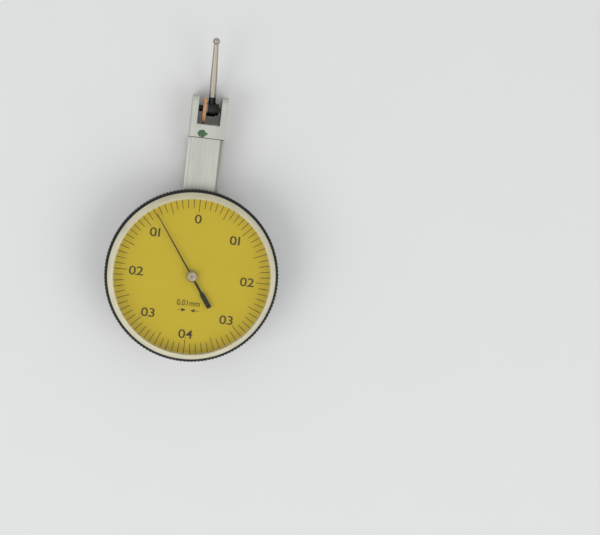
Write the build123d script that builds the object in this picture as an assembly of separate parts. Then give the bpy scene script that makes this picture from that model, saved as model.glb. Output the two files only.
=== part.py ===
from build123d import *
import math
import os

# A lever-type dial test indicator lying on its back.
# Z=0 is the flat back of the bar, +Z is the dial normal, +Y runs along the bar to the contact point,
# and the dial axis crosses the back at the origin.

# Bar with its dovetails, millimetres
BAR_WIDTH = 7.8
BAR_DEPTH = 8.4
DOVETAIL_STEP = 0.75
DOVETAIL_HEIGHT = 1.4
DOVETAIL_ANGLE = 60.0
REAR_REACH = 1.8
PIVOT_Y = 36.7
HEAD_LENGTH = 6.5
HEAD_LINE_WIDTH = 0.22
HEAD_LINE_DEPTH = 0.25
SLOT_LENGTH = 3.5
TINE_THICKNESS = 1.35
TINE_REACH = 2.8
TINE_CORNER = 1.5
SLOT_EDGE = 0.3
TUNNEL_HEIGHT = 4.2
POCKET_WALL = 1.4
POCKET_CLEARANCE = 0.9
POCKET_SHELF = 0.5

# Round case under the dial
CASE_DEPTH = 5.8
CASE_RISE = 2.4
CASE_WALL = 1.6
CASE_FLOOR = 1.2
CASE_CHAMFER = 0.8

# Bezel, crystal and dial
BEZEL_RADIUS = 19.0
BEZEL_WALL = 2.2
BEZEL_HEIGHT = 3.6
BEZEL_OVER_BAR = 0.4
BEZEL_RIM = 0.65
BEZEL_CHAMFER = 0.3
BEZEL_SHOULDER_HEIGHT = 0.35
BEZEL_SHOULDER_STEP = 0.26
NOTCH_COUNT = 150
NOTCH_DEPTH = 0.22
NOTCH_WIDTH = 0.42
DIAL_THICKNESS = 0.4
DIAL_HOLE_RADIUS = 0.9
CRYSTAL_WALL = 1.15
CRYSTAL_RISE = 2.4
CRYSTAL_SHOULDER = 1.1
CRYSTAL_BEVEL = 1.15
CRYSTAL_INNER_BEVEL = 0.3
CRYSTAL_THICKNESS = 1.1
SNAP_RING_WIDTH = 0.4
SNAP_RING_HEIGHT = 0.35
SNAP_RING_BELOW_TOP = 1.0
SNAP_RING_GAP = 5.0

# Gear train
SECTOR_MODULE = 0.16
SECTOR_TEETH_FULL = 160
SECTOR_TEETH_CUT = 7
SECTOR_THICKNESS = 0.5
SECTOR_HUB_RADIUS = 1.6
SECTOR_RIM_WIDTH = 1.6
SECTOR_ARM_ROOT_WIDTH = 2.2
SECTOR_ARM_TIP_WIDTH = 1.1
SECTOR_FORK_WIDTH = 1.0
ARBOR_PINION_TEETH = 10
ARBOR_PINION_LENGTH = 0.9
CROWN_MODULE = 0.12
CROWN_TEETH = 48
CROWN_TOOTH_LENGTH = 0.55
CROWN_RIM_THICKNESS = 0.5
CROWN_WEB_THICKNESS = 0.25
CROWN_HUB_RADIUS = 0.8
CROWN_SPOKES = 4
CROWN_SPOKE_WIDTH = 0.8
CROWN_SPACE_FOOT = 0.75
CROWN_SPACE_MOUTH = 1.35
CENTRE_PINION_TEETH = 10
CENTRE_PINION_LENGTH = 1.0
TOOTH_BACKLASH = 0.2
TOOTH_ADDENDUM = 0.9
TOOTH_DEDENDUM = 1.25
TOOTH_FOOT = 1.4
TOOTH_FOOT_SPREAD = 1.45
TOOTH_TIP_SPREAD = 0.4
ARBOR_RADIUS = 0.3
ARBOR_PIVOT_RADIUS = 0.14
LEVER_RATIO = 1.57
PIN_RADIUS = 0.3

# Movement plate and cock
PLATE_THICKNESS = 0.8
PLATE_RADIUS = 11.0
PLATE_OVERHANG = 1.3
PLATE_MARGIN = 0.7
PLATE_SCREW_RADIUS = 0.45
PLATE_SCREW_HEAD_RADIUS = 0.9
PLATE_SCREW_HEAD_HEIGHT = 0.4
PLATE_SCREW_LENGTH = 1.8
PLATE_SCREW_FRONT = 8.6
PLATE_SCREW_REAR = -3.4
COCK_THICKNESS = 0.6
COCK_WIDTH = 1.6
COCK_FRONT = 0.4
COCK_LEG = 0.6
JEWEL_RADIUS = 0.55
BUSH_RADIUS = 0.65

# Pointer and hairspring
STAFF_RADIUS = 0.28
STAFF_ABOVE_HAND = 0.65
HAND_OVER_DIAL = 0.7
HAND_THICKNESS = 0.15
HAND_SHORT_OF_RIM = 1.6
HAND_TAIL = 7.9
HAND_TIP_WIDTH = 0.16
HAND_ROOT_WIDTH = 0.36
HAND_TAIL_NECK = 3.8
HAND_TAIL_NECK_WIDTH = 0.5
HAND_TAIL_SHOULDER = 1.0
HAND_TAIL_WIDTH = 1.05
HAND_HUB_RADIUS = 1.0
CAP_RADIUS = 1.2
CAP_TOP_RADIUS = 0.96
CAP_WALL_HEIGHT = 0.33
CAP_HEIGHT = 0.55
HAND_REST_ANGLE = 35.0
COLLET_RADIUS = 0.65
COLLET_HEIGHT = 0.7
HAIRSPRING_RIBBON = 0.07
HAIRSPRING_HEIGHT = 0.35
HAIRSPRING_PITCH = 0.7
HAIRSPRING_HALF_TURNS = 7
STUD_RADIUS = 0.35

# Swivelling contact point
LEVER_SHARE_OF_SLOT = 0.14
LEVER_HUB_RADIUS = 1.85
LEVER_NOSE = 2.3
LEVER_ARM_WIDTH = 2.0
LEVER_TIP_WIDTH = 1.6
AXLE_RADIUS = 0.7
AXLE_TIP_RADIUS = 0.3
BEARING_SCREW_RADIUS = 1.2
BEARING_BORE_DEPTH = 0.8
DRIVER_SLOT_WIDTH = 0.3
DRIVER_SLOT_DEPTH = 0.4
DRUM_RADIUS = 1.6
DRUM_SHARE_OF_SLOT = 0.34
DRUM_OFFSET = 0.48
WASHER_RADIUS = 1.45
WASHER_THICKNESS = 0.3
NUT_RADIUS = 1.3
NUT_THICKNESS = 0.7
BOSS_RADIUS = 0.78
BOSS_REACH = 2.83
CONTACT_LENGTH = 15.35
BALL_RADIUS = 0.75
SHANK_BASE_RADIUS = 0.75
SHANK_BASE_CHAMFER = 0.07
SHANK_TIP_RADIUS = 0.5
STUD_THREAD_RADIUS = 0.48
STUD_THREAD_LENGTH = 1.6
SPANNER_HOLE_RADIUS = 0.36
SPANNER_HOLE_REACH = 3.0
CONTACT_LEAN = 18.0
CONTACT_SIDE_LEAN = 2.8

# Clearances
FIT = 0.02
RUNNING = 0.05
FREE = 0.2

# Worked out from the sizes above
pivot_z = BAR_DEPTH / 2
dovetail_width = BAR_WIDTH - 2 * DOVETAIL_STEP
dovetail_neck = dovetail_width - 2 * DOVETAIL_HEIGHT / math.tan(math.radians(DOVETAIL_ANGLE))
head_line = PIVOT_Y - HEAD_LENGTH
slot_bottom = PIVOT_Y - SLOT_LENGTH
slot_half = BAR_WIDTH / 2 - TINE_THICKNESS
drum_half = DRUM_SHARE_OF_SLOT * slot_half
drum_left = DRUM_OFFSET - drum_half
drum_right = DRUM_OFFSET + drum_half
lever_right = drum_left - WASHER_THICKNESS - FIT
lever_left = lever_right - 2 * LEVER_SHARE_OF_SLOT * slot_half
wall_outer = BAR_WIDTH / 2
wall_inner = wall_outer - POCKET_WALL
case_radius = BEZEL_RADIUS - BEZEL_WALL
case_bore = case_radius - CASE_WALL
case_top = BAR_DEPTH + CASE_RISE
case_bottom = case_top - CASE_DEPTH
rear_end = case_radius + REAR_REACH
plate_bottom = BAR_DEPTH
plate_top = plate_bottom + PLATE_THICKNESS
bezel_bottom = BAR_DEPTH + BEZEL_OVER_BAR
bezel_top = bezel_bottom + BEZEL_HEIGHT
snap_ring_level = case_top - SNAP_RING_BELOW_TOP
crystal_radius = BEZEL_RADIUS - BEZEL_RIM
dial_bottom = case_top + FREE
dial_top = dial_bottom + DIAL_THICKNESS
hand_level = dial_top + HAND_OVER_DIAL
hand_length = crystal_radius - CRYSTAL_WALL - HAND_SHORT_OF_RIM
staff_top = hand_level + STAFF_ABOVE_HAND
sector_radius = SECTOR_MODULE * SECTOR_TEETH_FULL / 2
arbor_pinion_radius = SECTOR_MODULE * ARBOR_PINION_TEETH / 2
crown_radius = CROWN_MODULE * CROWN_TEETH / 2
centre_pinion_radius = CROWN_MODULE * CENTRE_PINION_TEETH / 2
sector_pivot_y = sector_radius + arbor_pinion_radius
pin_from_pivot = (PIVOT_Y - sector_pivot_y) * LEVER_RATIO / (1 + LEVER_RATIO)
pin_y = PIVOT_Y - pin_from_pivot
crown_root_x = -centre_pinion_radius - TOOTH_DEDENDUM * CROWN_MODULE
crown_tip_x = -centre_pinion_radius + CROWN_MODULE
crown_back_x = crown_root_x - CROWN_RIM_THICKNESS
crown_outer = crown_radius + CROWN_TOOTH_LENGTH / 2
crown_inner = crown_radius - CROWN_TOOTH_LENGTH / 2
centre_pinion_bottom = pivot_z + crown_radius - CENTRE_PINION_LENGTH / 2
cock_bottom = centre_pinion_bottom - 2 * COCK_THICKNESS
sector_x = arbor_pinion_radius + SECTOR_THICKNESS
sector_right = sector_x + SECTOR_THICKNESS / 2
pocket_rear = crown_outer + POCKET_CLEARANCE
pocket_floor = pivot_z - crown_outer - FREE


def prism_x(sketch, low, high):
    """Extrude a sketch drawn in (Y, Z) from x=low to x=high."""
    plane = Plane(origin=(low, 0, 0), x_dir=(0, 1, 0), z_dir=(1, 0, 0))
    return extrude(plane * sketch, high - low)


def rod_x(radius, low, high, y, z):
    """Cylinder along X through (y, z)."""
    return prism_x(Pos(y, z) * Circle(radius), low, high)


def rod_z(radius, low, high, x=0.0, y=0.0):
    """Cylinder along Z."""
    return Pos(x, y, low) * extrude(Circle(radius), high - low)


def block(x_low, x_high, y_low, y_high, z_low, z_high):
    """Box between two corners."""
    size = (x_high - x_low, y_high - y_low, z_high - z_low)
    middle = ((x_low + x_high) / 2, (y_low + y_high) / 2, (z_low + z_high) / 2)
    return Pos(*middle) * Box(*size)


def turned(points):
    """Revolve a closed (radius, z) outline about Z."""
    return revolve(Plane.XZ * make_face(Polyline(*points, close=True)), Axis.Z)


def both_sides(shape):
    """The shape and its mirror image in the mid-plane of the bar."""
    return [shape, mirror(shape, Plane.YZ)]


def gear_sketch(module, teeth, bore=0.0):
    """Spur gear outline with straight-flanked teeth, one tooth on +X."""
    root = module * (teeth / 2 - TOOTH_DEDENDUM)
    outline = Circle(root)
    for step in range(teeth):
        outline += Rot(0, 0, step * 360 / teeth) * tooth_sketch(module, module * teeth / 2)
    if bore:
        outline -= Circle(bore)
    return outline


def tooth_sketch(module, pitch_radius):
    """One external tooth on +X, from just under the root to the tip."""
    half_pitch = module * (math.pi / 4) * (1 - TOOTH_BACKLASH)
    foot = (pitch_radius - TOOTH_FOOT * module, half_pitch * TOOTH_FOOT_SPREAD)
    tip = (pitch_radius + TOOTH_ADDENDUM * module, half_pitch * TOOTH_TIP_SPREAD)
    upper = [foot, (pitch_radius, half_pitch), tip]
    lower = [(x, -y) for x, y in reversed(upper)]
    return make_face(Polyline(*upper, *lower, close=True))


def bar_outline():
    """Bar section in (X, Z) with a dovetail on the back and one on the front."""
    half = BAR_WIDTH / 2
    wide = dovetail_width / 2
    neck = dovetail_neck / 2
    right = [
        (wide, 0),
        (neck, DOVETAIL_HEIGHT),
        (half, DOVETAIL_HEIGHT),
        (half, BAR_DEPTH - DOVETAIL_HEIGHT),
        (neck, BAR_DEPTH - DOVETAIL_HEIGHT),
        (wide, BAR_DEPTH),
    ]
    left = [(-x, z) for x, z in reversed(right)]
    return make_face(Polyline(*right, *left, close=True))


def back_outline():
    """Bar section in (X, Z) inside the case, with the back dovetail only."""
    half = BAR_WIDTH / 2
    wide = dovetail_width / 2
    neck = dovetail_neck / 2
    right = [(wide, 0), (neck, DOVETAIL_HEIGHT), (half, DOVETAIL_HEIGHT), (half, BAR_DEPTH)]
    left = [(-x, z) for x, z in reversed(right)]
    return make_face(Polyline(*right, *left, close=True))


def along_bar(outline, y_low, y_high):
    """Extrude an (X, Z) outline along the bar."""
    plane = Plane(origin=(0, y_high, 0), x_dir=(1, 0, 0), z_dir=(0, -1, 0))
    return extrude(plane * outline, y_high - y_low)


def rear_dovetail():
    """Third dovetail, upright across the rear end of the bar."""
    wide = dovetail_width / 2
    neck = dovetail_neck / 2
    outline = make_face(Polyline(
        (-wide, -rear_end),
        (wide, -rear_end),
        (neck, -rear_end + DOVETAIL_HEIGHT),
        (-neck, -rear_end + DOVETAIL_HEIGHT),
        close=True,
    ))
    end_block = along_bar(back_outline(), -rear_end, -rear_end + DOVETAIL_HEIGHT)
    return end_block & extrude(outline, BAR_DEPTH)


def fork_head():
    """Head with two round-cornered tines about the contact point's pivot."""
    tine_end = PIVOT_Y + TINE_REACH
    side = Pos((head_line + tine_end) / 2, pivot_z) * Rectangle(tine_end - head_line, BAR_DEPTH)
    side = fillet(side.vertices().group_by(Axis.X)[-1], TINE_CORNER)
    head = prism_x(side, -BAR_WIDTH / 2, BAR_WIDTH / 2)
    head -= block(-slot_half, slot_half, slot_bottom, tine_end + FREE, -FREE, BAR_DEPTH + FREE)
    edge = Rot(45, 0, 0) * Box(2 * slot_half, SLOT_EDGE, SLOT_EDGE)
    head -= Pos(0, slot_bottom, BAR_DEPTH) * edge
    head -= Pos(0, slot_bottom, 0) * edge
    return head


def body():
    """Milled bar, round case and fork head in one piece."""
    case = rod_z(case_radius, case_bottom, case_top)
    case = chamfer(case.edges().group_by(Axis.Z)[0], CASE_CHAMFER)
    case -= rod_z(case_bore, case_bottom + CASE_FLOOR, case_top + FREE)
    shape = case
    shape += along_bar(back_outline(), -rear_end + DOVETAIL_HEIGHT, case_radius - CASE_WALL / 2)
    shape += along_bar(bar_outline(), case_radius - CASE_WALL, head_line)
    shape += rear_dovetail()
    shape += fork_head()
    line_half = HEAD_LINE_WIDTH / 2
    shape -= block(-wall_outer, wall_outer, head_line - line_half, head_line + line_half,
                   BAR_DEPTH - HEAD_LINE_DEPTH, BAR_DEPTH + FREE)
    tunnel_low = pivot_z - TUNNEL_HEIGHT / 2
    tunnel_high = pivot_z + TUNNEL_HEIGHT / 2
    pocket_front = case_bore - FREE
    pocket_shelf = DOVETAIL_HEIGHT + POCKET_SHELF
    shape -= block(-wall_inner, wall_inner, -pocket_rear, pocket_front, pocket_shelf, BAR_DEPTH + FREE)
    shape -= block(crown_back_x - FREE, sector_right + FREE, -pocket_rear, pocket_front, pocket_floor, pivot_z)
    shape -= block(-wall_inner, wall_inner, 0, slot_bottom + FREE, tunnel_low, tunnel_high)
    for bearing_y in (0, sector_pivot_y):
        shape -= rod_x(BUSH_RADIUS, -wall_outer - FREE, wall_outer + FREE, bearing_y, pivot_z)
    shape -= rod_x(BEARING_SCREW_RADIUS, -wall_outer - FREE, wall_outer + FREE, PIVOT_Y, pivot_z)
    for x, y in plate_screw_places():
        shape -= rod_z(PLATE_SCREW_RADIUS, BAR_DEPTH - PLATE_SCREW_LENGTH - FREE, BAR_DEPTH + FREE, x, y)
    groove = SNAP_RING_HEIGHT / 2 + RUNNING
    groove_floor = case_radius - SNAP_RING_WIDTH / 2 - RUNNING
    shape -= turned([
        (groove_floor, snap_ring_level - groove),
        (case_radius + FREE, snap_ring_level - groove),
        (case_radius + FREE, snap_ring_level + groove),
        (groove_floor, snap_ring_level + groove),
    ])
    return shape


def plate_screw_places():
    """Screw axes in the two walls beside the pocket."""
    x = (wall_inner + wall_outer) / 2
    return [(side * x, y) for side in (-1, 1) for y in (PLATE_SCREW_REAR, PLATE_SCREW_FRONT)]


def coin_edge():
    """Outline of the notched rim: flat lands with a V notch between each two."""
    land_half = math.pi / NOTCH_COUNT - NOTCH_WIDTH / (2 * BEZEL_RADIUS)
    points = []
    for step in range(NOTCH_COUNT):
        angle = 2 * math.pi * step / NOTCH_COUNT
        points += [
            polar_point(BEZEL_RADIUS, angle - land_half),
            polar_point(BEZEL_RADIUS, angle + land_half),
            polar_point(BEZEL_RADIUS - NOTCH_DEPTH, angle + math.pi / NOTCH_COUNT),
        ]
    return make_face(Polyline(*points, close=True))


def polar_point(radius, angle):
    """Point at a radius and an angle in radians."""
    return (radius * math.cos(angle), radius * math.sin(angle))


def bezel_ring():
    """Coin-edged ring that turns on the case and carries the dial and the crystal."""
    shoulder = BEZEL_RADIUS - BEZEL_SHOULDER_STEP
    bore = case_radius + RUNNING
    groove = SNAP_RING_HEIGHT / 2 + RUNNING
    groove_roof = case_radius + SNAP_RING_WIDTH / 2 + RUNNING
    ring = turned([
        (bore, bezel_bottom),
        (shoulder - BEZEL_CHAMFER, bezel_bottom),
        (shoulder, bezel_bottom + BEZEL_CHAMFER),
        (shoulder, bezel_top - BEZEL_CHAMFER),
        (shoulder - BEZEL_CHAMFER, bezel_top),
        (crystal_radius, bezel_top),
        (crystal_radius, dial_bottom),
        (bore, dial_bottom),
        (bore, snap_ring_level + groove),
        (groove_roof, snap_ring_level + groove),
        (groove_roof, snap_ring_level - groove),
        (bore, snap_ring_level - groove),
    ])
    band = coin_edge() - Circle(shoulder - FREE)
    band_height = bezel_top - bezel_bottom - 2 * BEZEL_SHOULDER_HEIGHT
    return ring + Pos(0, 0, bezel_bottom + BEZEL_SHOULDER_HEIGHT) * extrude(band, band_height)


def crystal():
    """Clear cap with a bevelled edge, seated on the dial inside the bezel."""
    outer = crystal_radius - FIT
    inner = outer - CRYSTAL_WALL
    top = dial_top + CRYSTAL_SHOULDER + CRYSTAL_RISE
    shoulder = dial_top + CRYSTAL_SHOULDER
    ceiling = top - CRYSTAL_THICKNESS
    return turned([
        (0, ceiling),
        (inner - CRYSTAL_INNER_BEVEL, ceiling),
        (inner, ceiling - CRYSTAL_INNER_BEVEL),
        (inner, dial_top),
        (outer, dial_top),
        (outer, shoulder),
        (outer - CRYSTAL_BEVEL, top - BEZEL_CHAMFER),
        (outer - CRYSTAL_BEVEL - BEZEL_CHAMFER, top),
        (0, top),
    ])


def dial_plate():
    """Flat dial on the bezel's ledge."""
    plate = Circle(crystal_radius - FIT) - Circle(DIAL_HOLE_RADIUS)
    return Pos(0, 0, dial_bottom) * extrude(plate, DIAL_THICKNESS)


def snap_ring():
    """Open flat ring that keeps the bezel on the case."""
    ring = Circle(case_radius + SNAP_RING_WIDTH / 2) - Circle(case_radius - SNAP_RING_WIDTH / 2)
    ring -= Pos(case_radius, 0) * Rectangle(2 * SNAP_RING_GAP, SNAP_RING_GAP)
    return Pos(0, 0, snap_ring_level - SNAP_RING_HEIGHT / 2) * extrude(ring, SNAP_RING_HEIGHT)


def movement_plate():
    """Plate over the pocket with the upper centre bearing."""
    rear = PLATE_SCREW_REAR - PLATE_SCREW_HEAD_RADIUS - PLATE_MARGIN
    plate_width = BAR_WIDTH + 2 * PLATE_OVERHANG
    strip = Pos(0, rear + PLATE_RADIUS) * Rectangle(plate_width, 2 * PLATE_RADIUS)
    outline = Circle(PLATE_RADIUS) & strip
    outline -= Circle(JEWEL_RADIUS)
    window_length = PLATE_SCREW_FRONT - 2 * PLATE_SCREW_HEAD_RADIUS - COCK_WIDTH
    window_middle = COCK_WIDTH + window_length / 2
    outline -= Pos(0, window_middle) * SlotOverall(window_length, wall_inner, rotation=90)
    for x, y in plate_screw_places():
        outline -= Pos(x, y) * Circle(PLATE_SCREW_RADIUS + RUNNING)
    outline -= Pos(*stud_place()) * Circle(STUD_RADIUS)
    return Pos(0, 0, plate_bottom) * extrude(outline, PLATE_THICKNESS)


def plate_screws():
    """Four small cheese-head screws that hold the movement plate."""
    screws = []
    for x, y in plate_screw_places():
        screw = rod_z(PLATE_SCREW_RADIUS, BAR_DEPTH - PLATE_SCREW_LENGTH, plate_top, x, y)
        head_top = plate_top + PLATE_SCREW_HEAD_HEIGHT
        screw += rod_z(PLATE_SCREW_HEAD_RADIUS, plate_top, head_top, x, y)
        screw -= Pos(x, y, head_top) * Box(2 * PLATE_SCREW_HEAD_RADIUS, DRIVER_SLOT_WIDTH,
                                           PLATE_SCREW_HEAD_HEIGHT)
        screws.append(screw)
    return screws


def centre_cock():
    """Bracket under the plate that carries the lower centre bearing."""
    leg_outer = wall_inner - FREE
    leg_inner = leg_outer - COCK_LEG
    rear = COCK_FRONT - COCK_WIDTH
    arm_inner = crown_tip_x + FREE / 2
    arm = block(arm_inner, leg_outer, rear, COCK_FRONT, cock_bottom, cock_bottom + COCK_THICKNESS)
    leg = block(leg_inner, leg_outer, rear, COCK_FRONT, cock_bottom, plate_bottom)
    return arm + leg - rod_z(JEWEL_RADIUS / 2, cock_bottom - FREE, cock_bottom + COCK_THICKNESS + FREE)


def centre_jewels():
    """Ring stones for the pointer staff, in the plate and in the cock."""
    upper = rod_z(JEWEL_RADIUS, plate_bottom, plate_top)
    upper -= rod_z(STAFF_RADIUS + FIT, plate_bottom - FREE, plate_top + FREE)
    lower = rod_z(JEWEL_RADIUS / 2, cock_bottom, cock_bottom + COCK_THICKNESS)
    lower -= rod_z(ARBOR_PIVOT_RADIUS + FIT, cock_bottom + FREE, cock_bottom + COCK_THICKNESS + FREE)
    return [upper, lower]


def bush_pair(y):
    """Bearing bushes in the bar walls for an arbor along X."""
    bush = rod_x(BUSH_RADIUS, wall_inner, wall_outer, y, pivot_z)
    bush -= rod_x(ARBOR_PIVOT_RADIUS + FIT, wall_inner - FREE, wall_inner + BEARING_BORE_DEPTH, y, pivot_z)
    return both_sides(bush)


def arbor_x(y):
    """Plain arbor along X with a fine pivot at each end."""
    shoulder = wall_inner - FREE
    tip = wall_inner + BEARING_BORE_DEPTH - FREE
    return rod_x(ARBOR_RADIUS, -shoulder, shoulder, y, pivot_z) + \
        rod_x(ARBOR_PIVOT_RADIUS, -tip, tip, y, pivot_z)


def crown_arbor():
    """Arbor with the small pinion that the sector drives."""
    pinion = Pos(0, pivot_z) * Rot(0, 0, 180 / ARBOR_PINION_TEETH) * \
        gear_sketch(SECTOR_MODULE, ARBOR_PINION_TEETH)
    start = sector_x - ARBOR_PINION_LENGTH / 2
    return arbor_x(0) + prism_x(pinion, start, start + ARBOR_PINION_LENGTH)


def crown_wheel():
    """Contrate wheel: spoked wheel with teeth standing up on its rim."""
    web = Circle(CROWN_HUB_RADIUS)
    for step in range(CROWN_SPOKES):
        spoke = Pos(crown_radius / 2, 0) * Rectangle(crown_radius, CROWN_SPOKE_WIDTH)
        web += Rot(0, 0, step * 360 / CROWN_SPOKES) * spoke
    wheel = prism_x(Circle(crown_outer) - Circle(crown_inner), crown_back_x, crown_tip_x)
    wheel += prism_x(web & Circle(crown_radius), crown_back_x, crown_back_x + CROWN_WEB_THICKNESS)
    wheel += prism_x(Circle(CROWN_HUB_RADIUS), crown_back_x, crown_root_x)
    half_space = CROWN_MODULE * (math.pi / 4) * (1 + TOOTH_BACKLASH)
    half_foot = half_space * CROWN_SPACE_FOOT
    half_mouth = half_space * CROWN_SPACE_MOUTH + FREE / 4
    space = make_face(Polyline(
        (crown_root_x, -half_foot),
        (crown_tip_x + FREE, -half_mouth),
        (crown_tip_x + FREE, half_mouth),
        (crown_root_x, half_foot),
        close=True,
    ))
    base = Plane(origin=(0, 0, crown_inner - FREE), x_dir=(1, 0, 0), z_dir=(0, 0, 1))
    cutter = extrude(base * space, CROWN_TOOTH_LENGTH + 2 * FREE)
    half_step = 180 / CROWN_TEETH
    wheel -= [Rot(half_step * (2 * step + 1), 0, 0) * cutter for step in range(CROWN_TEETH)]
    wheel -= prism_x(Circle(ARBOR_RADIUS), crown_back_x - FREE, crown_root_x + FREE)
    return Pos(0, 0, pivot_z) * wheel


def sector_lever():
    """Lever with a toothed sector at the rear and a fork for the drive pin at the front."""
    hub = Circle(SECTOR_HUB_RADIUS)
    span = 360 / SECTOR_TEETH_FULL * SECTOR_TEETH_CUT
    half_span = math.radians(span / 2)
    root = sector_radius - TOOTH_DEDENDUM * SECTOR_MODULE
    rim_inner = root - SECTOR_RIM_WIDTH
    corner = (root * math.cos(half_span), root * math.sin(half_span))
    inside = (rim_inner * math.cos(half_span), rim_inner * math.sin(half_span))
    rim_line = ThreePointArc(corner, (root, 0), (corner[0], -corner[1]))
    rim_back = Polyline((corner[0], -corner[1]), (inside[0], -inside[1]), inside, corner)
    rim = make_face([rim_line, rim_back])
    arm = make_face(Polyline(
        (0, SECTOR_ARM_ROOT_WIDTH / 2),
        (rim_inner + FREE, SECTOR_ARM_TIP_WIDTH / 2),
        (rim_inner + FREE, -SECTOR_ARM_TIP_WIDTH / 2),
        (0, -SECTOR_ARM_ROOT_WIDTH / 2),
        close=True,
    ))
    rear = hub + arm + rim
    for step in range(SECTOR_TEETH_CUT):
        angle = (step - (SECTOR_TEETH_CUT - 1) / 2) * 360 / SECTOR_TEETH_FULL
        rear += Rot(0, 0, angle) * tooth_sketch(SECTOR_MODULE, sector_radius)
    rear = Rot(0, 0, 180) * rear
    pin_reach = pin_y - sector_pivot_y
    front = Pos(pin_reach / 2, 0) * Rectangle(pin_reach, SECTOR_FORK_WIDTH)
    front += Pos(pin_reach, 0) * Circle(3 * PIN_RADIUS)
    front -= Pos(pin_reach + PIN_RADIUS, 0) * SlotOverall(6 * PIN_RADIUS, 2 * (PIN_RADIUS + FIT))
    outline = rear + front - Circle(ARBOR_RADIUS)
    return prism_x(Pos(sector_pivot_y, pivot_z) * outline, sector_right - SECTOR_THICKNESS, sector_right)


def centre_staff():
    """Pointer staff with the centre pinion cut on it."""
    pinion_top = centre_pinion_bottom + CENTRE_PINION_LENGTH
    pinion = Rot(0, 0, 180 / CENTRE_PINION_TEETH) * gear_sketch(CROWN_MODULE, CENTRE_PINION_TEETH)
    staff = Pos(0, 0, centre_pinion_bottom) * extrude(pinion, CENTRE_PINION_LENGTH)
    staff += rod_z(ARBOR_RADIUS, cock_bottom + COCK_THICKNESS + RUNNING, centre_pinion_bottom)
    staff += rod_z(ARBOR_PIVOT_RADIUS, cock_bottom + FREE + FIT, centre_pinion_bottom)
    staff += rod_z(STAFF_RADIUS, pinion_top, staff_top)
    return staff


def hairspring_collet():
    """Split brass collar that holds the inner end of the hairspring."""
    low = plate_top + PLATE_SCREW_HEAD_HEIGHT
    ring = Circle(COLLET_RADIUS) - Circle(STAFF_RADIUS)
    ring -= Pos(COLLET_RADIUS, 0) * Rectangle(COLLET_RADIUS, HAIRSPRING_RIBBON)
    return Pos(0, 0, low) * extrude(ring, COLLET_HEIGHT)


def hairspring_end():
    """Radius of the hairspring's outer end."""
    return COLLET_RADIUS + FREE + HAIRSPRING_PITCH / 2 * HAIRSPRING_HALF_TURNS


def stud_place():
    """Where the hairspring's outer end is pinned."""
    side = -1 if HAIRSPRING_HALF_TURNS % 2 else 1
    return (0, side * (hairspring_end() + STUD_RADIUS))


def hairspring():
    """Flat spiral of half-turn arcs about two centres half a pitch apart."""
    low = plate_top + PLATE_SCREW_HEAD_HEIGHT + (COLLET_HEIGHT - HAIRSPRING_HEIGHT) / 2
    start = COLLET_RADIUS + FREE
    step = HAIRSPRING_PITCH / 2
    outline = Sketch()
    for turn in range(HAIRSPRING_HALF_TURNS):
        radius = start + step * (turn + 0.5)
        side = -1 if turn % 2 else 1
        ring = Circle(radius + HAIRSPRING_RIBBON / 2) - Circle(radius - HAIRSPRING_RIBBON / 2)
        half = Pos(side * radius, 0) * Rectangle(2 * radius, 4 * radius)
        outline += Pos(0, side * step / 2) * (ring & half)
    return Pos(0, 0, low) * extrude(outline, HAIRSPRING_HEIGHT)


def hairspring_stud():
    """Small post on the plate for the hairspring's outer end."""
    x, y = stud_place()
    return rod_z(STUD_RADIUS, plate_bottom, plate_top + PLATE_SCREW_HEAD_HEIGHT + COLLET_HEIGHT, x, y)


def pointer_hand():
    """Slim tapered hand with a widening counterweight tail."""
    blade = make_face(Polyline(
        (-HAND_ROOT_WIDTH / 2, 0),
        (-HAND_TIP_WIDTH / 2, hand_length),
        (HAND_TIP_WIDTH / 2, hand_length),
        (HAND_ROOT_WIDTH / 2, 0),
        close=True,
    ))
    shoulder = HAND_TAIL_NECK + HAND_TAIL_SHOULDER
    tail = Pos(0, -HAND_TAIL_NECK / 2) * Rectangle(HAND_TAIL_NECK_WIDTH, HAND_TAIL_NECK)
    tail += make_face(Polyline(
        (-HAND_TAIL_NECK_WIDTH / 2, -HAND_TAIL_NECK),
        (HAND_TAIL_NECK_WIDTH / 2, -HAND_TAIL_NECK),
        (HAND_TAIL_WIDTH / 2, -shoulder),
        (HAND_TAIL_WIDTH / 2, -HAND_TAIL),
        (-HAND_TAIL_WIDTH / 2, -HAND_TAIL),
        (-HAND_TAIL_WIDTH / 2, -shoulder),
        close=True,
    ))
    outline = blade + tail + Circle(HAND_HUB_RADIUS) - Circle(STAFF_RADIUS)
    hand = Pos(0, 0, hand_level) * extrude(outline, HAND_THICKNESS)
    return Rot(0, 0, HAND_REST_ANGLE) * hand


def pointer_cap():
    """Turned cap that presses the hand on the staff."""
    low = hand_level + HAND_THICKNESS
    return turned([
        (STAFF_RADIUS, low),
        (CAP_RADIUS, low),
        (CAP_RADIUS, low + CAP_WALL_HEIGHT),
        (CAP_TOP_RADIUS, low + CAP_HEIGHT),
        (STAFF_RADIUS, low + CAP_HEIGHT),
    ])


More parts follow.
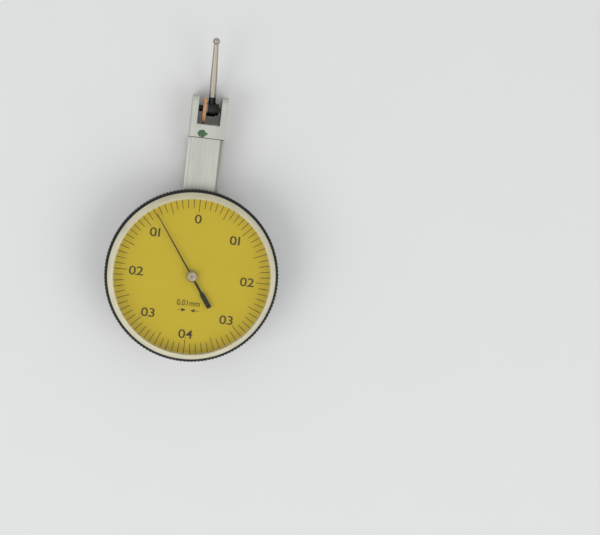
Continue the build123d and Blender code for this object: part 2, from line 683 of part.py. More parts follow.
def contact_lever():
    """Lever fixed to the pivot axle: nose in the fork, long arm back to the drive pin."""
    upper = [
        (0, LEVER_HUB_RADIUS),
        (-2 * LEVER_HUB_RADIUS, LEVER_ARM_WIDTH / 2),
        (-pin_from_pivot, LEVER_TIP_WIDTH / 2),
    ]
    lower = [(y, -z) for y, z in reversed(upper)]
    outline = make_face(Polyline(*upper, *lower, close=True))
    outline += Circle(LEVER_HUB_RADIUS)
    outline += Pos(LEVER_NOSE / 2, 0) * SlotOverall(LEVER_NOSE, LEVER_ARM_WIDTH)
    outline += Pos(-pin_from_pivot, 0) * Circle(LEVER_TIP_WIDTH / 2)
    outline -= Circle(AXLE_RADIUS)
    outline -= Pos(-pin_from_pivot, 0) * Circle(PIN_RADIUS)
    return prism_x(Pos(PIVOT_Y, pivot_z) * outline, lever_left, lever_right)


def drive_pin():
    """Pin that carries the lever's motion to the sector."""
    return rod_x(PIN_RADIUS, lever_left, sector_right + RUNNING, pin_y, pivot_z)


def lever_axle():
    """Pivot axle across the fork with a journal at each end."""
    shoulder = slot_half - FREE
    tip = slot_half + BEARING_BORE_DEPTH - FREE
    return rod_x(AXLE_RADIUS, -shoulder, shoulder, PIVOT_Y, pivot_z) + \
        rod_x(AXLE_TIP_RADIUS, -tip, tip, PIVOT_Y, pivot_z)


def pivot_screws():
    """Bearing screws in the tines that hold the axle's journals."""
    low = slot_half
    screw = rod_x(BEARING_SCREW_RADIUS, low, wall_outer, PIVOT_Y, pivot_z)
    screw -= rod_x(AXLE_TIP_RADIUS + FIT, low - FREE, low + BEARING_BORE_DEPTH, PIVOT_Y, pivot_z)
    driver_low = wall_outer - DRIVER_SLOT_DEPTH
    driver_half = DRIVER_SLOT_WIDTH / 2
    screw -= block(driver_low, wall_outer + FREE, PIVOT_Y - driver_half, PIVOT_Y + driver_half,
                   pivot_z - BEARING_SCREW_RADIUS, pivot_z + BEARING_SCREW_RADIUS)
    return both_sides(screw)


def friction_washer():
    """Thin washer between the lever and the drum that sets the swivel friction."""
    ring = Pos(PIVOT_Y, pivot_z) * (Circle(WASHER_RADIUS) - Circle(AXLE_RADIUS))
    return prism_x(ring, drum_left - WASHER_THICKNESS, drum_left)


def clamp_nut():
    """Round nut that clamps the drum on the axle."""
    ring = Circle(NUT_RADIUS) - Circle(AXLE_RADIUS)
    ring -= Rectangle(2 * NUT_RADIUS, DRIVER_SLOT_WIDTH) - Circle(AXLE_RADIUS + DRIVER_SLOT_WIDTH)
    return prism_x(Pos(PIVOT_Y, pivot_z) * ring, drum_right, drum_right + NUT_THICKNESS)


def leaned(shape):
    """Turn a piece drawn about the pivot to the contact point's rest lean."""
    return Pos(0, PIVOT_Y, pivot_z) * Rot(CONTACT_LEAN, 0, 0) * shape


def on_arm(shape):
    """Set a piece drawn along +Y on the drum, with the arm's slight set to the side."""
    return Pos(DRUM_OFFSET, 0, 0) * Rot(0, 0, CONTACT_SIDE_LEAN) * shape


def turned_y(points):
    """Revolve a closed (radius, y) outline about Y."""
    return revolve(make_face(Polyline(*points, close=True)), Axis.Y)


def stylus_holder():
    """Drum that swivels on the axle, with the threaded boss for the contact point."""
    drum = prism_x(Circle(DRUM_RADIUS), drum_left, drum_right)
    boss = turned_y([
        (0, 0),
        (BOSS_RADIUS, 0),
        (BOSS_RADIUS, BOSS_REACH - FREE),
        (BOSS_RADIUS - FREE, BOSS_REACH),
        (0, BOSS_REACH),
    ])
    holder = drum + on_arm(boss) - prism_x(Circle(AXLE_RADIUS + FIT), drum_left - FREE, drum_right + FREE)
    bore_start = BOSS_REACH - STUD_THREAD_LENGTH
    holder -= on_arm(turned_y([
        (0, bore_start),
        (STUD_THREAD_RADIUS, bore_start),
        (STUD_THREAD_RADIUS, BOSS_REACH + FREE),
        (0, BOSS_REACH + FREE),
    ]))
    return leaned(holder)


def stylus_shank():
    """Tapered steel contact arm, screwed into the boss, cupped for the ball."""
    root = BOSS_REACH - STUD_THREAD_LENGTH + FREE / 2
    shank = turned_y([
        (0, root),
        (STUD_THREAD_RADIUS, root),
        (STUD_THREAD_RADIUS, BOSS_REACH),
        (SHANK_BASE_RADIUS - SHANK_BASE_CHAMFER, BOSS_REACH),
        (SHANK_BASE_RADIUS, BOSS_REACH + SHANK_BASE_CHAMFER),
        (SHANK_BASE_RADIUS, BOSS_REACH + SPANNER_HOLE_REACH + 2 * SPANNER_HOLE_RADIUS),
        (SHANK_TIP_RADIUS, CONTACT_LENGTH - BALL_RADIUS / 2),
        (0, CONTACT_LENGTH - BALL_RADIUS / 2),
    ])
    shank -= Pos(0, CONTACT_LENGTH, 0) * Sphere(BALL_RADIUS)
    shank -= prism_x(Pos(BOSS_REACH + SPANNER_HOLE_REACH, 0) * Circle(SPANNER_HOLE_RADIUS),
                     -SHANK_BASE_RADIUS - FREE, SHANK_BASE_RADIUS + FREE)
    return leaned(on_arm(shank))


def contact_ball():
    """Polished contact ball."""
    return leaned(on_arm(Pos(0, CONTACT_LENGTH, 0) * Sphere(BALL_RADIUS)))


NODES = {
    "body": body,
    "movement_plate": movement_plate,
    "plate_screws": plate_screws,
    "centre_cock": centre_cock,
    "centre_jewels": centre_jewels,
    "crown_bushes": lambda: bush_pair(0),
    "sector_bushes": lambda: bush_pair(sector_pivot_y),
    "pivot_screws": pivot_screws,
    "hairspring": hairspring,
    "hairspring_stud": hairspring_stud,
    "snap_ring": snap_ring,
    "bezel_ring": bezel_ring,
    "crystal": crystal,
    "dial_plate": dial_plate,
    "centre_staff": centre_staff,
    "hairspring_collet": hairspring_collet,
    "pointer_hand": pointer_hand,
    "pointer_cap": pointer_cap,
    "crown_arbor": crown_arbor,
    "crown_wheel": crown_wheel,
    "sector_arbor": lambda: arbor_x(sector_pivot_y),
    "sector_lever": sector_lever,
    "contact_lever": contact_lever,
    "lever_axle": lever_axle,
    "drive_pin": drive_pin,
    "friction_washer": friction_washer,
    "clamp_nut": clamp_nut,
    "stylus_holder": stylus_holder,
    "stylus_shank": stylus_shank,
    "contact_ball": contact_ball,
}

os.makedirs("parts", exist_ok=True)
for name, make in NODES.items():
    made = make()
    if isinstance(made, list):
        made = Compound(children=[Compound(piece.solids()) if len(piece.solids()) > 1 else piece.solids()[0]
                                  for piece in made])
    export_step(made, f"parts/{name}.step")
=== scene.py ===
import math

import bmesh
import bpy
from mathutils import Matrix, Vector, noise


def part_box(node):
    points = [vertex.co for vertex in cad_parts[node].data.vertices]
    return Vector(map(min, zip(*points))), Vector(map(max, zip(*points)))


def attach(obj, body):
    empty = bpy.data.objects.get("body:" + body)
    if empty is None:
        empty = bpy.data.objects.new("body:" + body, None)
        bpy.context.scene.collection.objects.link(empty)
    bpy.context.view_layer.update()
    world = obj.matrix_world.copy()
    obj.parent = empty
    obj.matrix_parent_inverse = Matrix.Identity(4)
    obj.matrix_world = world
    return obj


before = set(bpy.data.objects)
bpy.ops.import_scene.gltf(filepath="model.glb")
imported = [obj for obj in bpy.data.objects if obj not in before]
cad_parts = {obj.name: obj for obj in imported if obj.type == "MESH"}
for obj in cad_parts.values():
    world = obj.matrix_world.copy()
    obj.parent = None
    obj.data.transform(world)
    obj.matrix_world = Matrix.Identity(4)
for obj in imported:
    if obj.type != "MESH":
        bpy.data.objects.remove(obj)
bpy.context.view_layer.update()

MM = 0.001

# The camera's place, which puts the dial where the photograph has it
PHOTO_WIDTH = 600
PHOTO_HEIGHT = 535
FOCAL_PIXELS = 1250
SENSOR_WIDTH = 36.0
VIEW_DISTANCE = 272.54 * MM
TILT_ALONG_BAR = -6.22
TILT_ACROSS_BAR = -6.42
ROLL = 6.87
DIAL_PIXEL = (192.06, 276.7)
DIAL_LEVEL = 12.8 * MM
CLIP_START = 0.01
CLIP_END = 10

# Dial markings
DIVISIONS = 80
LONGER_EVERY = 5
TICK_OUTER_RADIUS = 17.14 * MM
TICK_LENGTH = 2.24 * MM
TICK_LONGER = 3.0 * MM
TICK_WIDTH = 0.145 * MM
INK_THICKNESS = 0.015 * MM
CAP_SHARE_OF_SIZE = 0.73

# Numbers, with their places in millimetres, which are mirrored to the left
NUMBER_PLACES = {
    "0": (0, 12.65),
    "0.1": (8.74, 8.83),
    "0.2": (12.17, 0),
    "0.3": (8.61, -8.82),
    "0.4": (0, -12.81),
}
NUMBER_HEIGHT = 1.98 * MM
NUMBER_ADVANCE = 1.62 * MM
NARROW_DIGIT = "1"
NARROW_ADVANCE = 1.28 * MM
NUMBER_STRETCH = 1.2
NUMBER_STROKE = 0.03 * MM
POINT = "."
POINT_SHARE = 0.6

# Value of a division and the two arrows under it, the outline in millimetres from their middle
UNIT_TEXT = "0.01mm"
UNIT_HEIGHT = 1.34 * MM
UNIT_STROKE = 0.022 * MM
UNIT_WIDTH = 5.05 * MM
UNIT_PLACE = (-0.1 * MM, -5.92 * MM)
ARROW_PLACE = (-0.03 * MM, -7.57 * MM)
ARROW_OUTLINE = (
    (2.3, 0.06),
    (1.45, 0.06),
    (1.45, 0.42),
    (0.45, 0.0),
    (1.45, -0.42),
    (1.45, -0.06),
    (2.3, -0.06),
)

# Paint dot on the head's front, with its reach in millimetres every 36 degrees from +X
PAINT_PLACE = (-1.05 * MM, 31.13 * MM)
PAINT_REACH = (1.22, 0.72, 0.80, 0.82, 0.92, 1.08, 0.98, 0.84, 0.84, 0.80)
PAINT_THICKNESS = 0.05 * MM
PAINT_SIDES = 60
PAINT_RINGS = 5
PAINT_RAG_SHARE = 0.10
PAINT_RAG_SCALE = 2.2
PAINT_RAG_LEVEL = 4.2
PAINT_THIN_FROM = PAINT_PLACE[0] + 0.72 * MM
PAINT_THIN_TO = PAINT_PLACE[0] + 1.1 * MM

# Bar, its front dovetail and the groove where the head begins
BAR_HALF = 3.9 * MM
BAR_FRONT = 8.4 * MM
DOVETAIL_HALF = 3.15 * MM
HEAD_LINE_Y = 30.2 * MM
HEAD_LINE_HALF = 0.11 * MM
# Where painted shade on the copper lever starts deeper in the slot, and how far it fades
SLOT_SHADE_Y = 36.6 * MM
SLOT_SHADE_BLUR = 1.5 * MM

# Painted shade and light beside the front dovetail: how far they fade, and how deep the face counts as face
SHADING_FADE = 0.06 * MM
FACE_DEPTH = 0.12 * MM
FACE_SHADE_FROM = DOVETAIL_HALF - 0.28 * MM
FACE_SHADE_TO = DOVETAIL_HALF - 0.12 * MM

# Crystal, clear inside the first radius and, beyond the second, covered by a painted pale ring in place of
# the light its bevel refracts and reflects
CLEAR_RADIUS = 16.86 * MM
GLOW_RADIUS = 17.26 * MM

# Scales of the stretched textures, along X, Y and Z
BRUSHED_SCALE = (5200, 90, 5200)
BROAD_SCALE = (900, 30, 900)
TURNED_SCALE = (5200, 60, 5200)
SCRATCH_SCALE = (300, 4200, 300)
DAB_SCALE = (2600, 1200, 1200)
ARC_RADIUS = 15 * MM
NOISE_LOW = 0.3
NOISE_HIGH = 0.7
STREAK_LOW = 0.35
STREAK_HIGH = 0.65

# Edges that wear: how alike the real and the rounded normal are on flats and on corners
EDGE_SAMPLES = 4
FLAT_LIKENESS = 0.995
CORNER_LIKENESS = 0.90

# Colours
STEEL_DARK = (0.432, 0.430, 0.380)
STEEL_LIGHT = (0.486, 0.484, 0.428)
STEEL_EDGE = (0.70, 0.70, 0.67)
# Painted shade: the right shoulder beside the front dovetail, darkest next to the face, as if in its shadow
SHADE_INNER = (0.22, 0.218, 0.19)
SHADE_OUTER = (0.35, 0.347, 0.305)
# Painted light: the left shoulder made paler to cancel the shade beside the dovetail
LEFT_SHOULDER_PAINTED_LIGHT = (0.60, 0.595, 0.54)
# Dark colour painted along the groove where the head begins
HEAD_LINE_DARK = (0.045, 0.042, 0.036)
LACQUER_DARK = (0.008, 0.008, 0.007)
LACQUER_LIGHT = (0.018, 0.017, 0.015)
LACQUER_WORN = (0.32, 0.29, 0.23)
PLASTIC_CLEAR = (0.99, 0.99, 0.98)
# Painted reflection: pale ring colour on the bevel, tinted as by the dial's reflection
BEVEL_PAINTED_GLOW = (0.84, 0.785, 0.565)
PLASTIC_SHADE = (0.97, 0.97, 0.95)
PLASTIC_SHINE = (0.35, 0.35, 0.35)
YELLOW_DARK = (0.540, 0.400, 0.010)
YELLOW_LIGHT = (0.620, 0.458, 0.015)
YELLOW_CLOUD = (0.61, 0.458, 0.022)
INK_THICK = (0.030, 0.021, 0.004)
INK_THIN = (0.095, 0.068, 0.008)
GREEN_DARK = (0.014, 0.060, 0.016)
GREEN_LIGHT = (0.042, 0.128, 0.036)
GREEN_THIN = (0.20, 0.33, 0.10)
RUBY_DARK = (0.38, 0.010, 0.030)
RUBY_LIGHT = (0.62, 0.045, 0.080)
HAND_DARK = (0.007, 0.005, 0.002)
HAND_LIGHT = (0.020, 0.013, 0.004)

# Floor and light
FLOOR_HALF = 1.5
FLOOR_GAP = 0.02 * MM
FLOOR_COLOUR = (0.80, 0.80, 0.79)
FLOOR_PALER = 0.98
WORLD_COLOUR = (0.96, 0.98, 1.0)
WORLD_LIGHT = 0.60
WORLD_SEEN = 1.0
LAMP_SIZE = 0.5
LAMPS = {
    "key": (Vector((-0.45, -0.28, 0.62)), 1.9),
    "fill": (Vector((0.42, -0.22, 0.62)), 1.4),
}


def set_colour_management():
    """Standard view, so that a colour shows as it is written."""
    bpy.context.scene.view_settings.view_transform = "Standard"


def camera_axes():
    """Turn from the object's axes to the camera's."""
    normal_x = -math.sin(math.radians(TILT_ACROSS_BAR))
    normal_y = math.sin(math.radians(TILT_ALONG_BAR))
    normal = Vector((normal_x, normal_y, math.sqrt(1 - normal_x ** 2 - normal_y ** 2)))
    roll = math.radians(ROLL)
    bar = Vector((math.sin(roll), math.cos(roll), 0))
    bar.z = -(bar.x * normal.x + bar.y * normal.y) / normal.z
    bar.normalize()
    return Matrix((bar.cross(normal), bar, normal)).transposed()


def make_camera():
    """Camera that looks down on the dial as the photograph does."""
    to_camera = camera_axes()
    metres_per_pixel = VIEW_DISTANCE / FOCAL_PIXELS
    dial = Vector((
        (DIAL_PIXEL[0] - PHOTO_WIDTH / 2) * metres_per_pixel,
        (PHOTO_HEIGHT / 2 - DIAL_PIXEL[1]) * metres_per_pixel,
        -VIEW_DISTANCE,
    ))
    shift = dial - to_camera @ Vector((0, 0, DIAL_LEVEL))
    data = bpy.data.cameras.new("photo_camera")
    data.sensor_width = SENSOR_WIDTH
    data.lens = FOCAL_PIXELS / PHOTO_WIDTH * SENSOR_WIDTH
    data.clip_start = CLIP_START
    data.clip_end = CLIP_END
    camera = bpy.data.objects.new("photo_camera", data)
    camera.matrix_world = (Matrix.Translation(shift) @ to_camera.to_4x4()).inverted()
    bpy.context.scene.collection.objects.link(camera)
    bpy.context.scene.camera = camera


def rgba(colour):
    """Colour with full cover. A node's output stays as it is."""
    return (*colour, 1) if isinstance(colour, tuple) else colour


def feed(tree, socket, value):
    """Link an output into a socket, or write a plain value there."""
    if isinstance(value, bpy.types.NodeSocket):
        tree.links.new(value, socket)
    else:
        socket.default_value = value


def add_node(tree, kind, values=None, **settings):
    """New node with its settings, and its inputs set or linked."""
    node = tree.nodes.new(kind)
    for name, value in settings.items():
        setattr(node, name, value)
    for socket, value in (values or {}).items():
        feed(tree, node.inputs[socket], value)
    return node


def maths(tree, operation, first, second=0.0):
    """Math node's output."""
    return add_node(tree, "ShaderNodeMath", {0: first, 1: second}, operation=operation).outputs[0]


def plus(tree, first, second):
    """Sum of two values."""
    return maths(tree, "ADD", first, second)


def times(tree, first, second):
    """Product of two values."""
    return maths(tree, "MULTIPLY", first, second)


def remainder(tree, share):
    """What a share leaves of one."""
    return maths(tree, "SUBTRACT", 1.0, share)


def weighed(tree, first, second, share):
    """Sum of two values, of which the first has this share."""
    return plus(tree, times(tree, first, share), times(tree, second, 1 - share))


def ranged(tree, value, low, high, to_low, to_high):
    """Value taken smoothly from one range to another."""
    node = add_node(tree, "ShaderNodeMapRange", {
        "Value": value, "From Min": low, "From Max": high, "To Min": to_low, "To Max": to_high,
    }, interpolation_type="SMOOTHSTEP")
    return node.outputs[0]


def spread(tree, value, low, high):
    """Noise taken from its usual range to this one."""
    return ranged(tree, value, NOISE_LOW, NOISE_HIGH, low, high)


def streaky(tree, value):
    """Noise with a stronger contrast, from 0 to 1."""
    return ranged(tree, value, STREAK_LOW, STREAK_HIGH, 0.0, 1.0)


def mixed(tree, factor, first, second):
    """Mix of two colours."""
    node = add_node(tree, "ShaderNodeMix", data_type="RGBA")
    feed(tree, node.inputs[0], factor)
    feed(tree, node.inputs[6], rgba(first))
    feed(tree, node.inputs[7], rgba(second))
    return node.outputs[2]


def object_place(tree):
    """Coordinates in metres that stay with the piece."""
    return add_node(tree, "ShaderNodeTexCoord").outputs["Object"]


def axis_parts(tree, place):
    """Coordinates as three values."""
    return add_node(tree, "ShaderNodeSeparateXYZ", {0: place}).outputs


def stretched(tree, place, scale):
    """Coordinates scaled along each axis."""
    return add_node(tree, "ShaderNodeMapping", {"Vector": place, "Scale": scale}).outputs[0]


def noise_of(tree, place, scale=1.0, detail=2.0, roughness=0.5):
    """Noise between 0 and 1."""
    return add_node(tree, "ShaderNodeTexNoise", {
        "Vector": place, "Scale": scale, "Detail": detail, "Roughness": roughness,
    }).outputs[0]


def from_axis(tree, parts):
    """Distance from the dial's axis."""
    return maths(tree, "SQRT", plus(tree, times(tree, parts[0], parts[0]), times(tree, parts[1], parts[1])))


def round_axis(tree, parts):
    """Coordinates about the dial's axis: distance, arc length, height."""
    arc = times(tree, maths(tree, "ARCTAN2", parts[1], parts[0]), ARC_RADIUS)
    values = {0: from_axis(tree, parts), 1: arc, 2: parts[2]}
    return add_node(tree, "ShaderNodeCombineXYZ", values).outputs[0]


def bumped(tree, height, distance, strength=1.0):
    """Normal of a bumpy surface, height from 0 to 1 and distance in metres."""
    return add_node(tree, "ShaderNodeBump", {
        "Height": height, "Distance": distance, "Strength": strength,
    }).outputs[0]


def worn_edges(tree, radius):
    """1 on sharp edges, 0 on flats."""
    rounded = add_node(tree, "ShaderNodeBevel", {"Radius": radius}, samples=EDGE_SAMPLES).outputs[0]
    plain = add_node(tree, "ShaderNodeNewGeometry").outputs["Normal"]
    compared = add_node(tree, "ShaderNodeVectorMath", {0: rounded, 1: plain}, operation="DOT_PRODUCT")
    return ranged(tree, compared.outputs["Value"], FLAT_LIKENESS, CORNER_LIKENESS, 0.0, 1.0)


def new_material(name, values):
    """Material with these values on its shader."""
    made = bpy.data.materials.new(name)
    made.use_nodes = True
    shader = made.node_tree.nodes["Principled BSDF"]
    for socket, value in values.items():
        shader.inputs[socket].default_value = value
    return made, made.node_tree, shader


def connect(tree, shader, links):
    """Link outputs to the shader's sockets."""
    for socket, output in links.items():
        tree.links.new(output, shader.inputs[socket])


def shoulder(tree, parts, side):
    """1 on the shoulder beside the front dovetail, on the right (1) or the left (-1)."""
    across = times(tree, parts[0], side)
    beyond_face = ranged(tree, across, DOVETAIL_HALF - SHADING_FADE, DOVETAIL_HALF, 0.0, 1.0)
    below_face = ranged(tree, parts[2], BAR_FRONT - FACE_DEPTH, BAR_FRONT - SHADING_FADE, 1.0, 0.0)
    before_head = maths(tree, "LESS_THAN", parts[1], HEAD_LINE_Y)
    rim = ranged(tree, across, 0.93 * BAR_HALF, BAR_HALF, 1.0, 0.8)
    return times(tree, times(tree, beyond_face, below_face), times(tree, before_head, rim))


def face_edge_shade(tree, parts):
    """Share of the painted shadow line along the right edge of the front dovetail's face, where its overhang
    shades the shoulder.
    """
    near_edge = ranged(tree, parts[0], FACE_SHADE_FROM, FACE_SHADE_TO, 0.0, 0.75)
    on_face = maths(tree, "GREATER_THAN", parts[2], BAR_FRONT - FACE_DEPTH)
    before_head = maths(tree, "LESS_THAN", parts[1], HEAD_LINE_Y)
    return times(tree, near_edge, times(tree, on_face, before_head))


def painted_bar_shading(tree, parts, colour):
    """Steel's colour with painted shade on the right shoulder and along the face's right edge, painted light
    on the left shoulder, and a dark line painted along the head groove.
    """
    outward = ranged(tree, parts[0], DOVETAIL_HALF, 0.95 * BAR_HALF, 0.0, 1.0)
    # Painted shade along the face's right edge and on the right shoulder
    colour = mixed(tree, face_edge_shade(tree, parts), colour, SHADE_INNER)
    colour = mixed(tree, shoulder(tree, parts, 1), colour, mixed(tree, outward, SHADE_INNER, SHADE_OUTER))
    # Painted light on the left shoulder
    colour = mixed(tree, shoulder(tree, parts, -1), colour, LEFT_SHOULDER_PAINTED_LIGHT)
    # Dark line painted along the head groove
    from_line = maths(tree, "ABSOLUTE", maths(tree, "SUBTRACT", parts[1], HEAD_LINE_Y))
    darkening = ranged(tree, from_line, 0.7 * HEAD_LINE_HALF, 1.1 * HEAD_LINE_HALF, 0.7, 0.0)
    return mixed(tree, darkening, colour, HEAD_LINE_DARK)


def steel_grain(tree, place, parts):
    """Grain along the bar, and round the case beyond the bar."""
    along = noise_of(tree, stretched(tree, place, BRUSHED_SCALE), detail=3.0, roughness=0.6)
    turned_place = stretched(tree, round_axis(tree, parts), TURNED_SCALE)
    turned = noise_of(tree, turned_place, detail=3.0, roughness=0.6)
    from_middle = maths(tree, "ABSOLUTE", parts[0])
    beyond_bar = ranged(tree, from_middle, BAR_HALF + 0.02 * MM, BAR_HALF + 0.06 * MM, 0.0, 1.0)
    return plus(tree, times(tree, turned, beyond_bar), times(tree, along, remainder(tree, beyond_bar)))


def satin_steel():
    """Chromed steel, brushed along the bar and turned round the case."""
    made, tree, shader = new_material("satin_steel", {"Metallic": 1.0})
    place = object_place(tree)
    parts = axis_parts(tree, place)
    grain = steel_grain(tree, place, parts)
    broad = noise_of(tree, stretched(tree, place, BROAD_SCALE), detail=2.0)
    smudge = noise_of(tree, place, scale=230, detail=4.0, roughness=0.55)
    edge = worn_edges(tree, 0.07 * MM)
    streaks = streaky(tree, weighed(tree, grain, broad, 0.6))
    colour = mixed(tree, streaks, STEEL_DARK, STEEL_LIGHT)
    colour = mixed(tree, times(tree, edge, 0.4), colour, STEEL_EDGE)
    connect(tree, shader, {
        "Base Color": painted_bar_shading(tree, parts, colour),
        "Roughness": spread(tree, weighed(tree, grain, smudge, 0.5), 0.32, 0.46),
        "Normal": bumped(tree, grain, 0.004 * MM),
    })
    return made


def black_enamel():
    """Black lacquer on brass, worn bright on the coin edge's corners."""
    made, tree, shader = new_material("black_enamel", {"Specular IOR Level": 0.2})
    place = object_place(tree)
    peel = noise_of(tree, place, scale=2600, detail=2.0)
    blotch = noise_of(tree, place, scale=420, detail=3.0)
    edge = worn_edges(tree, 0.06 * MM)
    worn = times(tree, edge, ranged(tree, blotch, 0.52, 0.70, 0.0, 0.4))
    colour = mixed(tree, blotch, LACQUER_DARK, LACQUER_LIGHT)
    connect(tree, shader, {
        "Base Color": mixed(tree, worn, colour, LACQUER_WORN),
        "Metallic": worn,
        "Roughness": spread(tree, blotch, 0.28, 0.42),
        "Normal": bumped(tree, peel, 0.006 * MM),
    })
    return made


def let_light_through(tree, shader, painted_ring):
    """Shadows and soft light pass the plastic where the painted ring doesn't cover it."""
    clear = add_node(tree, "ShaderNodeBsdfTransparent", {"Color": rgba(PLASTIC_SHADE)}).outputs[0]
    rays = add_node(tree, "ShaderNodeLightPath").outputs
    passing = maths(tree, "MAXIMUM", rays["Is Shadow Ray"], rays["Is Diffuse Ray"])
    passing = times(tree, passing, remainder(tree, painted_ring))
    both = add_node(tree, "ShaderNodeMixShader", {0: passing, 1: shader.outputs[0], 2: clear}).outputs[0]
    tree.links.new(both, tree.nodes["Material Output"].inputs["Surface"])


def clear_cap():
    """Clear moulded plastic, with a pale diffuse ring painted on its bevelled edge in place of the light the
    bevel refracts and the dial it reflects.
    """
    made, tree, shader = new_material("clear_cap", {"IOR": 1.49, "Specular Tint": rgba(PLASTIC_SHINE)})
    place = object_place(tree)
    edge = ranged(tree, from_axis(tree, axis_parts(tree, place)), CLEAR_RADIUS, GLOW_RADIUS, 0.0, 1.0)
    cloud = noise_of(tree, place, scale=260, detail=3.0)
    scratches = noise_of(tree, stretched(tree, place, SCRATCH_SCALE), detail=2.0)
    fine = noise_of(tree, place, scale=900, detail=2.0)
    # Painted pale ring on the bevel, standing in for refracted and reflected light
    painted_ring = times(tree, edge, spread(tree, cloud, 0.70, 0.84))
    connect(tree, shader, {
        "Base Color": mixed(tree, edge, PLASTIC_CLEAR, BEVEL_PAINTED_GLOW),
        "Transmission Weight": remainder(tree, painted_ring),
        "Roughness": plus(tree, times(tree, edge, 0.22), spread(tree, fine, 0.012, 0.03)),
        "Normal": bumped(tree, scratches, 0.0015 * MM, 0.4),
    })
    let_light_through(tree, shader, painted_ring)
    return made


def yellow_dial():
    """Yellow lacquered dial with a fine silvered grain under the colour."""
    made, tree, shader = new_material("yellow_dial", {"Specular IOR Level": 0.15})
    place = object_place(tree)
    grain = noise_of(tree, place, scale=5200, detail=2.0)
    cloud = noise_of(tree, place, scale=120, detail=3.0)
    colour = mixed(tree, grain, YELLOW_DARK, YELLOW_LIGHT)
    connect(tree, shader, {
        "Base Color": mixed(tree, ranged(tree, cloud, 0.35, 0.7, 0.0, 0.35), colour, YELLOW_CLOUD),
        "Roughness": spread(tree, cloud, 0.46, 0.58),
        "Normal": bumped(tree, grain, 0.003 * MM),
    })
    return made


def printed_ink():
    """Dark printing ink with a slightly uneven cover."""
    made, tree, shader = new_material("printed_ink", {"Specular IOR Level": 0.12})
    cover = noise_of(tree, object_place(tree), scale=3200, detail=3.0)
    connect(tree, shader, {
        "Base Color": mixed(tree, cover, INK_THICK, INK_THIN),
        "Roughness": spread(tree, cover, 0.42, 0.62),
        "Normal": bumped(tree, cover, 0.002 * MM),
    })
    return made


def green_paint():
    """Hand-dabbed green paint with a glossy, uneven skin, thin at its right tip."""
    made, tree, shader = new_material("green_paint", {"Coat Weight": 0.5, "Coat Roughness": 0.12})
    place = object_place(tree)
    thin = ranged(tree, axis_parts(tree, place)[0], PAINT_THIN_FROM, PAINT_THIN_TO, 0.0, 0.8)
    streak = noise_of(tree, stretched(tree, place, DAB_SCALE), detail=4.0, roughness=0.65)
    colour = mixed(tree, ranged(tree, streak, 0.38, 0.68, 0.0, 1.0), GREEN_DARK, GREEN_LIGHT)
    connect(tree, shader, {
        "Base Color": mixed(tree, thin, colour, GREEN_THIN),
        "Roughness": spread(tree, streak, 0.25, 0.45),
        "Normal": bumped(tree, streak, 0.02 * MM),
    })
    return made


def turned_metal(name, dark, light, roughness, axis, coarse=1.0):
    """Turned or drawn metal whose tool marks run round one axis."""
    made, tree, shader = new_material(name, {"Metallic": 1.0})
    place = object_place(tree)
    scale = [260.0, 260.0, 260.0]
    scale[axis] = 4200.0 * coarse
    marks = noise_of(tree, stretched(tree, place, scale), detail=3.0, roughness=0.6)
    stain = noise_of(tree, place, scale=700, detail=3.0)
    edge = worn_edges(tree, 0.04 * MM)
    both = weighed(tree, marks, stain, 0.55)
    brightest = tuple(min(1.0, 1.35 * part) for part in light)
    colour = mixed(tree, streaky(tree, both), dark, light)
    connect(tree, shader, {
        "Base Color": mixed(tree, times(tree, edge, 0.6), colour, brightest),
        "Roughness": spread(tree, both, roughness * 0.8, roughness * 1.25),
        "Normal": bumped(tree, marks, 0.002 * MM),
    })
    return made


def painted_slot_shade(tree, place, colour, darkening, below):
    """Colour with painted shade below a place along the bar, deeper in the slot."""
    along = axis_parts(tree, place)[1]
    share = ranged(tree, along, below - SLOT_SHADE_BLUR, below + SLOT_SHADE_BLUR, 0.5, 0.0)
    return mixed(tree, share, colour, darkening)


def flat_ground_metal(name, dark, light, roughness, grain_axis, shaded_below=None):
    """Flat ground or stamped metal with straight grain along one axis, and painted shade below a place along
    the bar when one is given.
    """
    made, tree, shader = new_material(name, {"Metallic": 1.0})
    place = object_place(tree)
    scale = [3600.0, 3600.0, 3600.0]
    scale[grain_axis] = 130.0
    marks = noise_of(tree, stretched(tree, place, scale), detail=3.0, roughness=0.6)
    stain = noise_of(tree, place, scale=520, detail=4.0, roughness=0.6)
    edge = worn_edges(tree, 0.05 * MM)
    both = weighed(tree, marks, stain, 0.5)
    brightest = tuple(min(1.0, 1.3 * part) for part in light)
    colour = mixed(tree, streaky(tree, both), dark, light)
    # Painted shade deeper in the slot
    if shaded_below is not None:
        colour = painted_slot_shade(tree, place, colour, tuple(0.3 * part for part in dark), shaded_below)
    connect(tree, shader, {
        "Base Color": mixed(tree, times(tree, edge, 0.5), colour, brightest),
        "Roughness": spread(tree, both, roughness * 0.8, roughness * 1.25),
        "Normal": bumped(tree, marks, 0.002 * MM),
    })
    return made


def ruby():
    """Red bearing stone with a faint internal haze."""
    made, tree, shader = new_material("ruby", {"IOR": 1.76, "Transmission Weight": 0.55})
    haze = noise_of(tree, object_place(tree), scale=2400, detail=3.0)
    connect(tree, shader, {
        "Base Color": mixed(tree, haze, RUBY_DARK, RUBY_LIGHT),
        "Roughness": spread(tree, haze, 0.04, 0.12),
    })
    return made


def black_hand():
    """Matt black lacquered hand."""
    made, tree, shader = new_material("black_hand", {"Specular IOR Level": 0.1})
    grain = noise_of(tree, object_place(tree), scale=3800, detail=3.0)
    connect(tree, shader, {
        "Base Color": mixed(tree, grain, HAND_DARK, HAND_LIGHT),
        "Roughness": spread(tree, grain, 0.40, 0.60),
        "Normal": bumped(tree, grain, 0.002 * MM),
    })
    return made


